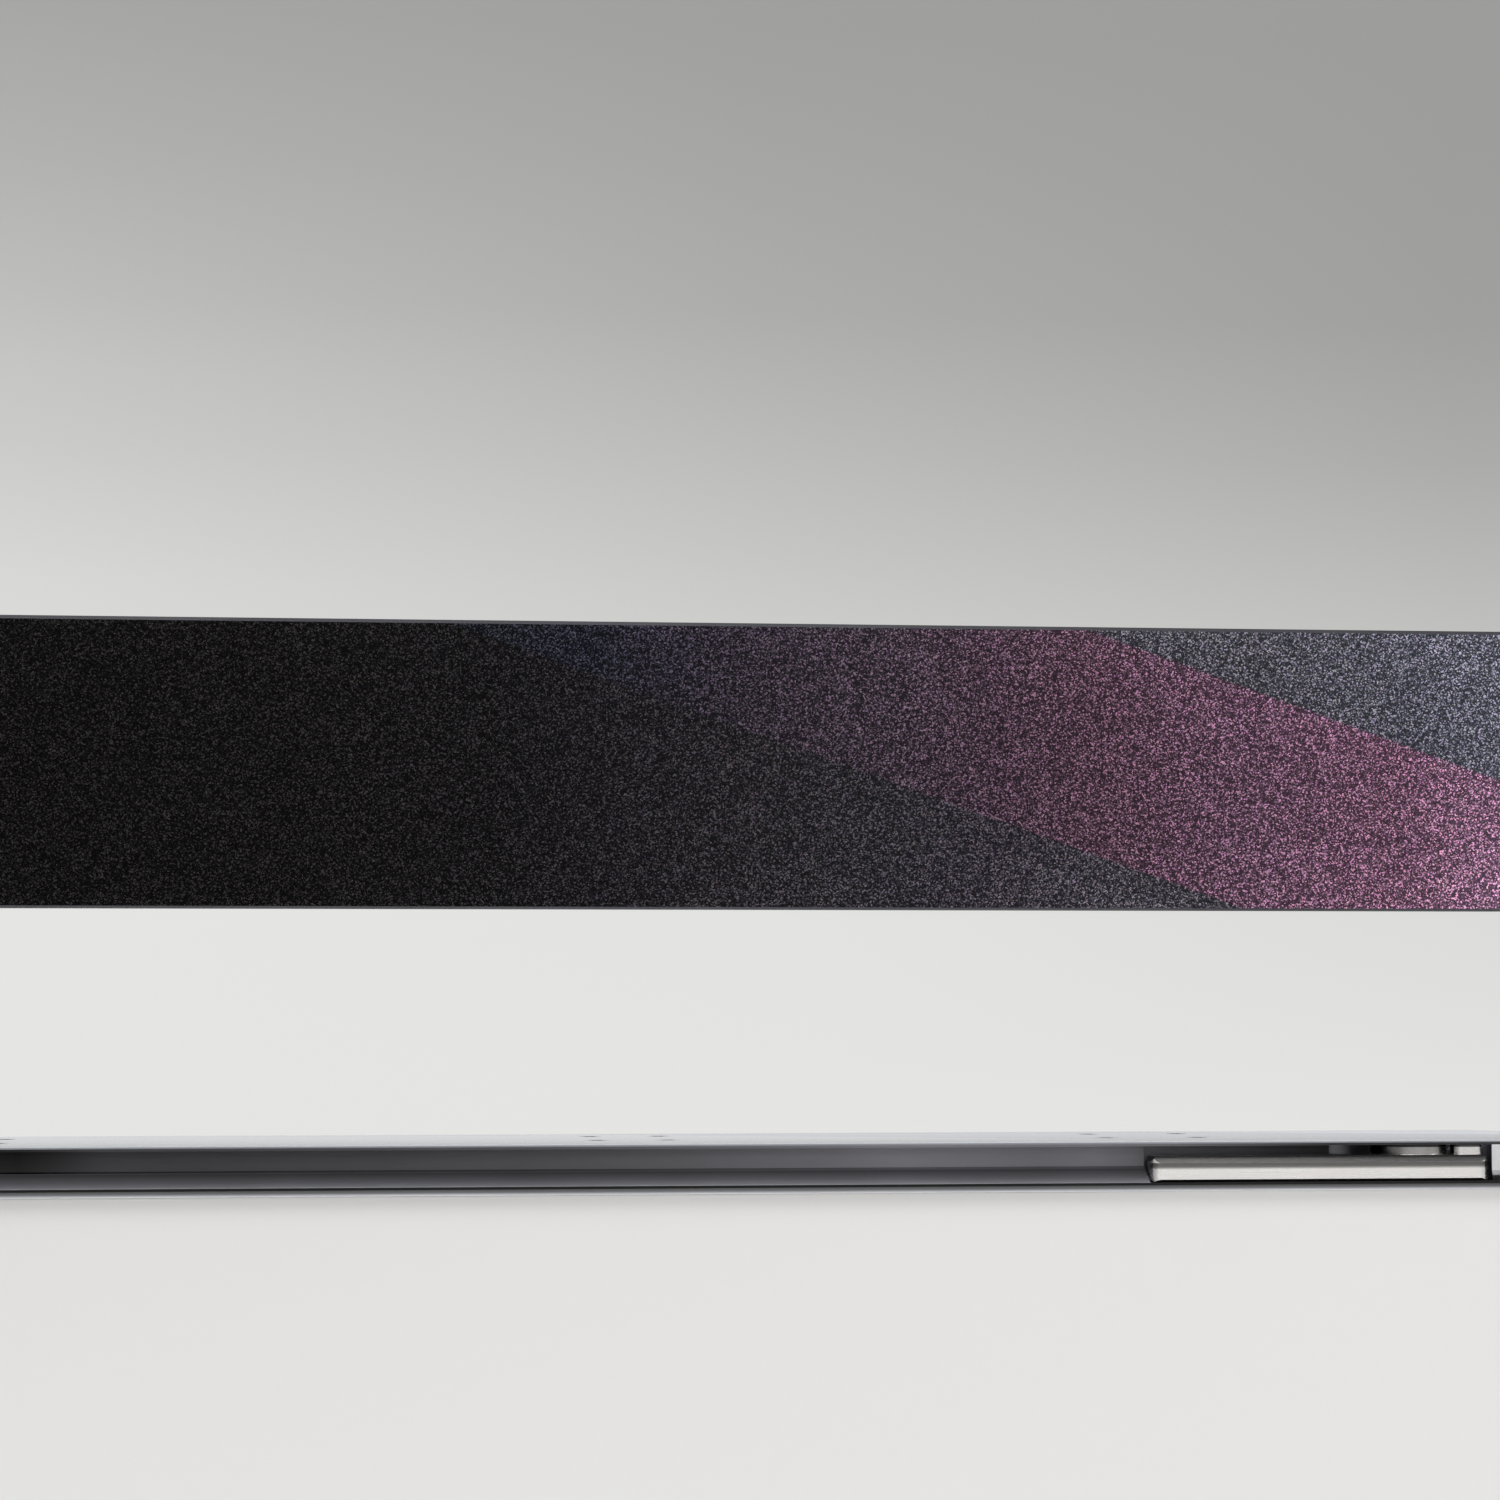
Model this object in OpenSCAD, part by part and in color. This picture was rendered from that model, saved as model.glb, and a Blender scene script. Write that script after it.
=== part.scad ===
// Splitboard: two ski-like halves with swing-out latch arms and tip clips.
// Local frame of one half: x along the board, y (called v) from the inner
// edge to the outer edge, z up from the base. One half lies flat on the
// ground, the other stands on its side above it, base to the front.

/* [Board] */
// Overall length of the board
board_length = 1600; // [1560:1:1720]
// Width of one half in its straight middle
half_width = 120; // [116:1:132]
// Width of one half at its widest, by the contact points
tip_width = 146; // [140:1:160]
// Length of each rounded nose and tail
nose_length = 150; // [140:1:170]
// Height of the upturned nose and tail above the ground
nose_rise = 40; // [25:1:50]
// Half length of the straight middle
straight_half = 400; // [400:1:420]
// Half length of the full-thickness middle
thick_half = 415; // [415:1:425]
// Length of the thin flat stretch before each contact point
thin_flat = 78; // [76:1:90]
// Thickness of the middle
mid_thickness = 21; // [20.5:0.5:25]
// Thickness of the nose and tail
tip_thickness = 8; // [7:0.5:9]
// Width of the slope along the outer edge of the deck
bevel_width = 16; // [10:1:17]
// Height of the outer edge in the middle
bevel_height = 10; // [9:0.5:14]

/* [Layers] */
// Thickness of the running base
base_t = 1.3; // [1:0.1:1.6]
// Thickness of the laminate under the core
bottom_laminate_t = 1.1; // [0.6:0.1:1.2]
// Thickness of the laminate over the core
top_laminate_t = 0.6; // [0.4:0.1:0.8]
// Thickness of the printed topsheet
topsheet_t = 0.5; // [0.4:0.1:0.6]
// Width of the outer steel edge, seen from below
outer_edge_w = 1.4; // [1.2:0.1:2.4]
// Width of the inner steel edge, seen from below
inner_edge_w = 0.8; // [0.6:0.1:1.4]
// Width of the outer sidewall
sidewall_w = 8; // [6:0.5:12]
// Thickness of the rubber strip under the inner rail
seal_t = 1.1; // [0.8:0.1:1.2]
// Set-back of the rubber strip from the inner edge
seal_inset = 0.6; // [0.2:0.1:1]

/* [Inner rail] */
// Width of the inner rail
rail_w = 18.5; // [18:0.5:21]
// Depth of the long recess in the rail
recess_depth = 13; // [10:0.5:14]
// Rise of the sloped ledge at the bottom of the recess
ledge_rise = 6.3; // [4:0.1:7]
// Height of the front of the ledge
ledge_front = 0.2; // [0.1:0.05:0.6]
// Set-back of the ledge from the inner edge
ledge_inset = 0.5; // [0.2:0.1:1]
// Height of the lip over the recess, topsheet included
lip_height = 2.1; // [1.9:0.1:2.4]
// Solid length left at each end of the recess
recess_end = 12; // [10:1:20]

/* [Latch] */
// Distance from the end of the recess back to each latch pivot
pivot_setback = 39; // [37:0.5:43]
// Set-back of the arm from the inner edge
arm_front = 0.9; // [0.6:0.1:1.2]
// Set-back of the pivot disc behind the front of the arm
disc_setback = 2; // [0.5:0.1:2.5]
// Reach of the latch arm from its pivot
arm_reach = 117; // [108:1:118]
// Length of the short end of the arm behind its pivot
arm_heel = 30; // [28:0.5:30]
// Width of the arm
arm_w = 15; // [13:0.5:15]
// Height of the arm
arm_h = 10.6; // [9:0.1:10.8]
// Height of the slope along the arm's upper edges
arm_slope_h = 2.8; // [1:0.1:3.2]
// Depth of the slope along the arm's upper edges
arm_slope_d = 1.8; // [0.8:0.1:2.4]
// Chamfer along the arm's lower edges
arm_chamfer = 0.8; // [0.4:0.1:1.2]
// Radius of the arm's corners in plan
arm_corner = 4; // [2:0.5:5]
// Diameter of the pivot disc
disc_d = 33; // [30:0.5:33]
// Length of the finger tab on the heel
tab_length = 12.5; // [9:0.5:12.5]
// Depth of the finger tab
tab_depth = 9; // [7:0.5:10]
// Set-back of the finger tab behind the front of the arm
tab_setback = 2.6; // [2:0.1:3.5]
// Radius of the finger tab's corners in plan
tab_corner = 2.5; // [1.5:0.5:3.5]
// Diameter of the pivot pin
pin_d = 8; // [6:0.5:8]
// Running clearance round the pivot pin
pin_play = 0.05; // [0.02:0.01:0.1]
// Gap between the arm and the recess it folds into
arm_gap = 0.4; // [0.3:0.1:0.5]
// Gap between the pivot disc and the lip
disc_gap = 0.3; // [0.3:0.1:0.5]
// Wall of the latch housing round its round pocket
housing_wall = 3; // [2:0.5:4]
// Set-back of the housing's end block from the inner edge
end_setback = 1.2; // [0.8:0.1:2]
// Chamfer at the foot of the end block
end_chamfer = 4.4; // [3:0.1:5]
// Gap between the arm and the walls of its socket
socket_gap = 0.5; // [0.3:0.1:0.8]
// Wall of the socket
socket_wall = 2; // [1.5:0.5:3]

/* [Tip clips] */
// Distance from the contact point back to each clip pivot
clip_setback = 38; // [36:1:40]
// Distance from the inner edge to the clip pivot
clip_v = 16; // [15:0.5:18]
// Distance from the inner edge to the stud on the other half
stud_v = 12; // [12:0.5:14]
// Thickness of the clip's base plate
plate_t = 2; // [1.6:0.1:3]
// Width of the base plate
plate_w = 24; // [22:1:26]
// Length of the base plate
plate_length = 46; // [44:1:50]
// Thickness of the clip lever
lever_t = 3; // [2.5:0.1:4]
// Width of the clip lever
lever_w = 12; // [10:0.5:14]
// Diameter of the lever's round hub
lever_hub_d = 16.8; // [15:0.1:18]
// Metal left beyond the hook at the end of the lever
hook_end = 5; // [4:0.5:7]
// Corner radius of the base plate
plate_corner = 6; // [3:0.5:8]
// Distance from the clip pivot to the screw towards the tip
screw_ahead = 14; // [13:0.5:15]
// Distance from the clip pivot to the screw under the lever
screw_behind = 18; // [17:0.5:19]
// Diameter of the clip's pivot pin
clip_pin_d = 6; // [5:0.5:6]
// Diameter of the stud's neck
stud_neck_d = 6; // [5:0.5:6]
// Diameter of the heads of the stud and the pivot pin
head_d = 12; // [10:0.5:13]
// Height of the heads of the stud and the pivot pin
head_t = 2; // [1.5:0.1:2.5]
// Gap above and below the lever
lever_gap = 0.3; // [0.3:0.1:0.5]
// Gap between the lever's hook and the stud
hook_gap = 0.4; // [0.3:0.1:0.6]

/* [Inserts] */
// Distance from the board's centre to each binding pattern
stance_x = 255; // [250:1:258]
// Spacing of the binding inserts along the board
binding_pitch_x = 40; // [38:1:42]
// Spacing of the inserts across the board
insert_pitch_v = 40; // [38:1:42]
// Distance from the inner edge to the first row of inserts
insert_v = 36; // [34:1:38]
// Position of the touring bracket pattern along the board
tour_x = 30; // [10:1:60]
// Spacing of the touring bracket inserts along the board
tour_pitch_x = 30; // [28:1:40]
// Diameter of the tapped hole
insert_hole_d = 5; // [5:0.1:5.4]
// Outer diameter of the insert's barrel
insert_d = 9; // [8:0.5:10]
// Diameter of the insert's flange
insert_flange_d = 16; // [14:0.5:17]
// Length of the insert
insert_length = 13; // [12:0.5:14]

/* [Fasteners] */
// Diameter of the clip screws
screw_d = 4; // [3.5:0.1:4.5]
// Diameter of the screws' heads
screw_head_d = 7; // [6:0.5:8]
// Height of the screws' heads
screw_head_t = 1.4; // [1:0.1:1.6]
// Depth of the screws in the rail
screw_length = 4.5; // [4:0.1:4.5]
// Diameter of the shank of the stud
shank_d = 5; // [4:0.5:6]
// Diameter of the flange of the stud
stud_flange_d = 15; // [13:0.5:16]
// Thickness of the flange of the stud
stud_flange_t = 2; // [1.5:0.1:2.2]
// Thickness of the flange of an insert
insert_flange_t = 1.5; // [1:0.1:2]

/* [Pose] */
// Gap between the two halves when they are joined
seam_gap = 0.3; // [0.3:0.1:0.6]
// Height of the standing half above the ground
lift = 118.5; // [114:0.5:130]

/* [Hidden] */
$fn = 64;
// Half length to the point where the nose begins to rise
contact_x = board_length / 2 - nose_length;
clip_x = contact_x - clip_setback;
taper_length = contact_x - thin_flat - thick_half;
// Radius of the rising nose, seen from the side
rise_r = (nose_length * nose_length + nose_rise * nose_rise) / (2 * nose_rise);
edge_h = base_t + bottom_laminate_t;
skin_t = top_laminate_t + topsheet_t;
floor_z = edge_h + seal_t;
lip_z = mid_thickness - lip_height;
seam_y = -tip_width / 2;
recess_half = thick_half - recess_end;
pivot_x = recess_half - pivot_setback;
// Long enough to pass through anything it cuts
far = 60;
// The arm and its pocket
pivot_v = arm_front + disc_setback + disc_d / 2;
arm_z = floor_z + arm_gap;
arm_top = arm_z + arm_h;
disc_top = lip_z - disc_gap;
pocket_r = norm([arm_heel, pivot_v - arm_front]) + 2 * arm_gap;
housing_half = pocket_r + housing_wall;
housing_back = pivot_v + pocket_r + housing_wall;
bay_depth = arm_front + arm_w + 2 * arm_gap;
bay_start = pivot_x - arm_reach - 2 * arm_gap;
end_x = pivot_x + arm_heel + arm_gap;
// The arm swung out, measured from the other half's inner edge
socket_near = pivot_x + pivot_v - arm_front - arm_w;
socket_depth = arm_reach - pivot_v - seam_gap + 2 * socket_gap;
// The clip
hook_r = clip_v + stud_v + seam_gap;
lever_z = tip_thickness + plate_t + lever_gap;
head_z = lever_z + lever_t + lever_gap;
lever_reach = hook_r + stud_neck_d / 2 + hook_gap + hook_end;
screw_x = [clip_x + screw_ahead, clip_x - screw_behind];
plate_mid = (screw_x[0] + screw_x[1]) / 2;
insert_z = mid_thickness - insert_length;
outline_steps = 14;
flare_steps = 10;
taper_steps = 8;
rise_steps = 8;

// ---- Outline and side profile ----

function clamp01(s) = min(1, max(0, s));
function smooth(s) = let(c = clamp01(s)) c * c * (3 - 2 * c);
function smooth_slope(s) = let(c = clamp01(s)) 6 * c * (1 - c);

// Width of the half at x, up to the contact point
function width_at(x) =
    half_width + (tip_width - half_width)
    * smooth((abs(x) - straight_half) / (contact_x - straight_half));

// Point on the flared outer edge, moved inwards by inset
function flare_point(x, inset) =
    let(run = contact_x - straight_half)
    let(slope = (tip_width - half_width) / run * smooth_slope((x - straight_half) / run))
    [x, width_at(x)] - inset * [-slope, 1] / norm([slope, 1]);

// Point on the rounded nose at angle a, moved inwards by inset
function nose_point(a, inset) =
    let(n = [tip_width * sin(a), nose_length * cos(a)])
    [contact_x + nose_length * sin(a), tip_width * cos(a)] - inset * n / norm(n);

// Right-hand half of the outer edge, from the middle to the tip
function outer_side(inset) = concat(
    [for (i = [0:flare_steps])
        flare_point(straight_half + i * (contact_x - straight_half) / flare_steps, inset)],
    [for (i = [1:outline_steps]) nose_point(i * 90 / outline_steps, inset)]);

function mirrored(points) =
    [for (i = [len(points) - 1:-1:0]) [-points[i][0], points[i][1]]];

// Plan outline of the half
module outline(inset = 0) {
    side = outer_side(inset);
    polygon(concat(mirrored(side), side));
}

// Plan of a layer, trimmed to start at inner and to lie between two x values
module plan(inner = 0, inset = 0, from_x = -board_length, to_x = board_length) {
    intersection() {
        outline(inset);
        translate([from_x, inner])
            square([to_x - from_x, 2 * tip_width]);
    }
}

// Height of the underside
function base_z(x) =
    abs(x) <= contact_x ? 0
    : rise_r - sqrt(rise_r * rise_r - pow(abs(x) - contact_x, 2));

// Thickness at the inner edge
function thickness_at(x) =
    mid_thickness - (mid_thickness - tip_thickness)
    * smooth((abs(x) - thick_half) / taper_length);

// x of the right-hand stations where the side profile bends
station_x = concat(
    [for (i = [0:taper_steps]) thick_half + i * taper_length / taper_steps],
    [for (i = [0:rise_steps]) contact_x + i * nose_length / rise_steps],
    [board_length / 2 + far]);
function all_stations() = concat(
    [for (i = [len(station_x) - 1:-1:0]) -station_x[i]], station_x);
function side_line(depth_below) =
    [for (x = all_stations())
        [x, base_z(clip_to_board(x)) + thickness_at(x) - depth_below]];
function clip_to_board(x) = sign(x) * min(abs(x), board_length / 2);
function base_line(raise) =
    [for (x = all_stations()) [x, base_z(clip_to_board(x)) + raise]];

// Turns a profile drawn in x and z into a prism across the board
module across() {
    translate([0, 2 * tip_width, 0])
        rotate([90, 0, 0])
            linear_extrude(3 * tip_width)
                children();
}

// Turns a profile drawn in v and z into a prism along the board
module along(from_x, to_x) {
    translate([from_x, 0, 0])
        rotate([90, 0, 90])
            linear_extrude(to_x - from_x)
                children();
}

// Everything between the raised underside and the lowered deck
module between(raise, depth) {
    difference() {
        across()
            polygon(concat(
                base_line(raise),
                [for (i = [len(station_x) * 2 - 1:-1:0]) side_line(depth)[i]]));
        along(-contact_x, contact_x)
            polygon([
                [half_width - bevel_width, mid_thickness - depth],
                [half_width, bevel_height - depth],
                [2 * tip_width, bevel_height - depth],
                [2 * tip_width, far],
                [half_width - bevel_width, far]
            ]);
    }
}

// A plan outline made as tall as any part of the board
module tall() {
    translate([0, 0, -far])
        linear_extrude(3 * far)
            children();
}

// Plan outline cut to lie between the raised underside and the lowered deck
module filled(raise, depth) {
    intersection() {
        between(raise, depth);
        tall() children();
    }
}

// Sheet that follows the underside, from one height above it to another
module low_sheet(from, to) {
    intersection() {
        across()
            polygon(concat(
                base_line(from),
                [for (i = [len(station_x) * 2 - 1:-1:0]) base_line(to)[i]]));
        tall() children();
    }
}

// Sheet that follows the deck, from one depth below it to another
module high_sheet(from, to) {
    difference() {
        filled(edge_h, from) children();
        between(-far, to);
    }
}

// ---- Holes through the deck ----

// Places a child at each insert of one half
module at_inserts() {
    for (v = [insert_v, insert_v + insert_pitch_v]) {
        for (side = [-1, 1], step = [-0.5, 0.5])
            translate([side * stance_x + step * binding_pitch_x, v, 0])
                children();
        for (step = [-0.5, 0.5])
            translate([tour_x + step * tour_pitch_x, v, 0])
                children();
    }
}

// Places a child at each clip screw
module at_screws() {
    for (side = [-1, 1], x = screw_x)
        translate([side * x, clip_v, tip_thickness])
            children();
}

// Holes for the barrels and flanges of the inserts
module insert_holes() {
    at_inserts() {
        translate([0, 0, insert_z])
            cylinder(h = far, d = insert_d);
        translate([0, 0, insert_z])
            cylinder(h = insert_flange_t, d = insert_flange_d);
    }
}

module screw_holes() {
    at_screws()
        translate([0, 0, -screw_length])
            cylinder(h = far, d = screw_d);
}

// ---- The two sides of the board ----

// Puts one half flat on the ground, inner edge to the front
module lower_half() {
    translate([0, seam_y, 0])
        children();
}

// Stands the other half on its inner edge, base to the front
module upper_half() {
    translate([0, seam_y, lift])
        rotate([90, 0, 0])
            mirror([0, 0, 1])
                children();
}

module left() {
    mirror([1, 0, 0])
        children();
}

// ---- Layers of one half, in its own frame ----

module base_sheet() {
    low_sheet(0, base_t)
        plan(inner_edge_w, outer_edge_w);
}

module bottom_laminate() {
    low_sheet(base_t, edge_h)
        plan(inner_edge_w, outer_edge_w);
}

module outer_edge() {
    low_sheet(0, edge_h)
        difference() {
            outline();
            outline(outer_edge_w);
        }
}

module inner_edge() {
    low_sheet(0, edge_h)
        intersection() {
            outline(outer_edge_w);
            translate([-board_length, 0])
                square([2 * board_length, inner_edge_w]);
        }
}

module inner_seal() {
    low_sheet(edge_h, floor_z)
        plan_strip(seal_inset, rail_w);
}

// Strip of the plan between two distances from the inner edge
module plan_strip(from_v, to_v) {
    translate([-contact_x, from_v])
        square([2 * contact_x, to_v - from_v]);
}

// Wood core; children are what is cut out of it
module core() {
    difference() {
        filled(edge_h, skin_t)
            plan(rail_w, sidewall_w, -contact_x, contact_x);
        insert_holes();
        children();
    }
}

// Sidewall along the outer edge; children are what is cut out of it
module outer_sidewall() {
    difference() {
        filled(edge_h, skin_t)
            difference() {
                plan(0, 0, -contact_x, contact_x);
                outline(sidewall_w);
            }
        children();
    }
}

// Solid nose or tail of the half, where the core ends
module spacer() {
    filled(edge_h, skin_t)
        plan(0, 0, contact_x, board_length);
}

// The two deck layers; children are holes beside those of the inserts
module top_laminate() {
    difference() {
        high_sheet(topsheet_t, skin_t)
            outline();
        insert_holes();
        children();
    }
}

module topsheet() {
    difference() {
        high_sheet(0, topsheet_t)
            outline();
        insert_holes();
        children();
    }
}

// Long open recess with a sloped ledge at its bottom
module recess() {
    along(-recess_half, recess_half)
        polygon([
            [-far, floor_z + ledge_front],
            [ledge_inset, floor_z + ledge_front],
            [recess_depth, floor_z + ledge_front + ledge_rise],
            [recess_depth, lip_z],
            [-far, lip_z]
        ]);
}

// Rail with the recess along its front
module inner_rail() {
    difference() {
        filled(floor_z, skin_t)
            plan_strip(0, rail_w);
        recess();
        along(-board_length, board_length)
            polygon([
                [-far, 0],
                [ledge_inset, 0],
                [ledge_inset, floor_z + ledge_front],
                [-far, floor_z + ledge_front]
            ]);
        children();
    }
}

module inserts() {
    at_inserts()
        difference() {
            union() {
                translate([0, 0, insert_z])
                    cylinder(h = insert_length, d = insert_d);
                translate([0, 0, insert_z])
                    cylinder(h = insert_flange_t, d = insert_flange_d);
            }
            translate([0, 0, insert_z + insert_flange_t])
                cylinder(h = far, d = insert_hole_d);
        }
}

// ---- Latch, on the right of the board ----

// Room for the folded arm and for its heel as it swings
module latch_room() {
    translate([bay_start, -far, floor_z])
        cube([end_x - bay_start, far + bay_depth, lip_z - floor_z]);
    latch_pocket();
    end_room();
}

module latch_pocket() {
    translate([pivot_x, pivot_v, floor_z])
        cylinder(h = lip_z - floor_z, r = pocket_r);
}

// Block of the housing behind the rail
module housing_block() {
    translate([pivot_x - housing_half, rail_w, edge_h])
        cube([2 * housing_half, housing_back - rail_w, mid_thickness - skin_t - edge_h]);
}

// Room in the rail for the end block that closes the recess beside the arm
module end_room() {
    translate([end_x, -far, floor_z])
        cube([recess_half - end_x, far + rail_w, lip_z - floor_z]);
}

module end_block() {
    along(end_x, recess_half)
        polygon([
            [rail_w, floor_z], [end_setback + end_chamfer / 2, floor_z],
            [end_setback, floor_z + end_chamfer], [end_setback, lip_z],
            [rail_w, lip_z]
        ]);
}

module latch_housing() {
    difference() {
        union() {
            housing_block();
            end_block();
        }
        latch_pocket();
    }
}

// Cross-section of the arm, sloped above and chamfered below
module arm_section() {
    near = arm_front;
    deep = arm_front + arm_w;
    polygon([
        [near + arm_chamfer, arm_z], [deep - arm_chamfer, arm_z],
        [deep, arm_z + arm_chamfer], [deep, arm_top - arm_slope_h],
        [deep - arm_slope_d, arm_top], [near + arm_slope_d, arm_top],
        [near, arm_top - arm_slope_h], [near, arm_z + arm_chamfer]
    ]);
}

// The same slopes across the arm's two ends
module arm_side() {
    tip = pivot_x - arm_reach;
    heel = pivot_x + arm_heel;
    across()
        polygon([
            [tip + arm_chamfer, arm_z], [heel - arm_chamfer, arm_z],
            [heel, arm_z + arm_chamfer], [heel, arm_top - arm_slope_h],
            [heel - arm_slope_d, arm_top], [tip + arm_slope_d, arm_top],
            [tip, arm_top - arm_slope_h], [tip, arm_z + arm_chamfer]
        ]);
}

// Plan of a bar with round corners
module bar_plan(from_x, to_x, near, depth, r) {
    for (x = [from_x + r, to_x - r], v = [near + r, near + depth - r])
        translate([x, v])
            circle(r);
    translate([from_x + r, near])
        square([to_x - from_x - 2 * r, depth]);
    translate([from_x, near + r])
        square([to_x - from_x, depth - 2 * r]);
}

module latch_arm() {
    heel_x = pivot_x + arm_heel;
    difference() {
        union() {
            intersection() {
                along(pivot_x - arm_reach, heel_x)
                    arm_section();
                arm_side();
                tall()
                    bar_plan(pivot_x - arm_reach, heel_x, arm_front, arm_w, arm_corner);
            }
            translate([pivot_x, pivot_v, arm_z])
                cylinder(h = disc_top - arm_z, d = disc_d);
            translate([0, 0, arm_top - arm_slope_h])
                linear_extrude(disc_top - arm_top + arm_slope_h)
                    bar_plan(
                        heel_x - tab_length - arm_slope_d, heel_x - arm_slope_d,
                        arm_front + tab_setback, tab_depth, tab_corner);
        }
        translate([pivot_x, pivot_v, 0])
            cylinder(h = far, d = pin_d + 2 * pin_play);
    }
}

// Pin held between the strip under the pocket and the lip over it
module latch_pin() {
    translate([pivot_x, pivot_v, floor_z])
        cylinder(h = lip_z - floor_z, d = pin_d);
}

// ---- Sockets in the other half for the arms when they are swung out ----

module socket_room() {
    translate([socket_near - socket_gap, -far, floor_z])
        cube([arm_w + 2 * socket_gap, far + socket_depth, arm_top + arm_gap - floor_z]);
}

module socket_block() {
    translate([socket_near - socket_gap - socket_wall, rail_w, edge_h])
        cube([
            arm_w + 2 * (socket_gap + socket_wall),
            socket_depth + socket_wall - rail_w,
            arm_top + arm_gap + socket_wall - edge_h
        ]);
}

// Socket, which never stands higher than the core
module latch_socket() {
    difference() {
        intersection() {
            socket_block();
            between(edge_h, skin_t);
        }
        socket_room();
    }
}

// ---- Tip clip, on the right of the board ----

module clip_plate() {
    difference() {
        translate([plate_mid - plate_length / 2, clip_v - plate_w / 2, tip_thickness])
            linear_extrude(plate_t)
                rounded_plate();
        translate([clip_x, clip_v, 0])
            cylinder(h = far, d = clip_pin_d);
        for (x = screw_x)
            translate([x, clip_v, tip_thickness])
                screw_body();
    }
}

module rounded_plate() {
    r = plate_corner;
    for (x = [r, plate_length - r], v = [r, plate_w - r])
        translate([x, v])
            circle(r);
    translate([r, 0])
        square([plate_length - 2 * r, plate_w]);
    translate([0, r])
        square([plate_length, plate_w - 2 * r]);
}

// Lever folded along the board, with a hook that turns onto the stud
module clip_lever() {
    translate([clip_x, clip_v, lever_z])
        difference() {
            union() {
                cylinder(h = lever_t, d = lever_hub_d);
                translate([-lever_reach + lever_w / 2, -lever_w / 2, 0])
                    cube([lever_reach - lever_w / 2, lever_w, lever_t]);
                translate([-lever_reach + lever_w / 2, 0, 0])
                    cylinder(h = lever_t, d = lever_w);
            }
            translate([0, 0, -lever_t])
                cylinder(h = far, d = clip_pin_d + 2 * pin_play);
            translate([-hook_r, 0, -lever_t])
                cylinder(h = far, d = stud_neck_d + 2 * hook_gap);
            hook_mouth();
        }
}

// Arc through which the stud's neck enters the hook
module hook_mouth() {
    half = stud_neck_d / 2 + hook_gap;
    intersection() {
        difference() {
            translate([0, 0, -lever_t])
                cylinder(h = far, r = hook_r + half);
            translate([0, 0, -far])
                cylinder(h = 3 * far, r = hook_r - half);
        }
        translate([-2 * hook_r, -lever_w, -lever_t])
            cube([2 * hook_r, lever_w, far]);
    }
}

// Headed pin from the deck through plate and lever
module clip_pin() {
    translate([clip_x, clip_v, tip_thickness])
        cylinder(h = head_z - tip_thickness, d = clip_pin_d);
    translate([clip_x, clip_v, head_z])
        cylinder(h = head_t, d = head_d);
}

module screw_body() {
    translate([0, 0, -screw_length])
        cylinder(h = screw_length + plate_t, d = screw_d);
    translate([0, 0, plate_t - screw_head_t])
        cylinder(h = screw_head_t, d = screw_head_d);
}

// Holes for the shanks of the studs
module stud_holes() {
    for (side = [-1, 1])
        translate([side * clip_x, stud_v, tip_thickness - screw_length])
            cylinder(h = far, d = shank_d);
}

// Stud on the other half, with its shank down in the rail
module clip_stud() {
    translate([clip_x, stud_v, tip_thickness]) {
        translate([0, 0, -screw_length])
            cylinder(h = screw_length, d = shank_d);
        cylinder(h = stud_flange_t, d = stud_flange_d);
        cylinder(h = head_z - tip_thickness, d = stud_neck_d);
        translate([0, 0, head_z - tip_thickness])
            cylinder(h = head_t, d = head_d);
    }
}

// ---- Named pieces ----

module lower_base() { color("#1c1c20") lower_half() base_sheet(); }
module lower_outer_edge() { color("#5a5a5e") lower_half() outer_edge(); }
module lower_inner_edge() { color("#a8a8ac") lower_half() inner_edge(); }
module lower_bottom_laminate() { color("#8f8a72") lower_half() bottom_laminate(); }
module lower_inner_seal() { color("#101012") lower_half() inner_seal(); }
module lower_outer_sidewall() { color("#202024") lower_half() outer_sidewall(); }
module lower_tip_spacer() { color("#26262a") lower_half() spacer(); }
module lower_tail_spacer() { color("#26262a") lower_half() left() spacer(); }
module lower_top_laminate() { color("#8f8a72") lower_half() top_laminate() screw_holes(); }
module lower_topsheet() { color("#c4c8cc") lower_half() topsheet() screw_holes(); }
module lower_inserts() { color("#b9bcc0") lower_half() inserts(); }

module lower_core() {
    color("#c9a76b")
        lower_half()
            core() {
                housing_block();
                left() housing_block();
            }
}

module lower_inner_rail() {
    color("#5c5c62")
        lower_half()
            inner_rail() {
                latch_room();
                left() latch_room();
                screw_holes();
            }
}

module right_latch_housing() { color("#d0d2d4") lower_half() latch_housing(); }
module right_latch_arm() { color("#d8d2c8") lower_half() latch_arm(); }
module right_latch_pin() { color("#b0b0b4") lower_half() latch_pin(); }
module left_latch_housing() { color("#d0d2d4") lower_half() left() latch_housing(); }
module left_latch_arm() { color("#d8d2c8") lower_half() left() latch_arm(); }
module left_latch_pin() { color("#b0b0b4") lower_half() left() latch_pin(); }

module tip_clip_plate() { color("#2a2a2e") lower_half() clip_plate(); }
module tip_clip_lever() { color("#d0d2d4") lower_half() clip_lever(); }
module tip_clip_pin() { color("#b0b0b4") lower_half() clip_pin(); }
module tail_clip_plate() { color("#2a2a2e") lower_half() left() clip_plate(); }
module tail_clip_lever() { color("#d0d2d4") lower_half() left() clip_lever(); }
module tail_clip_pin() { color("#b0b0b4") lower_half() left() clip_pin(); }
module clip_screws() { color("#9a9a9e") lower_half() at_screws() screw_body(); }

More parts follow.
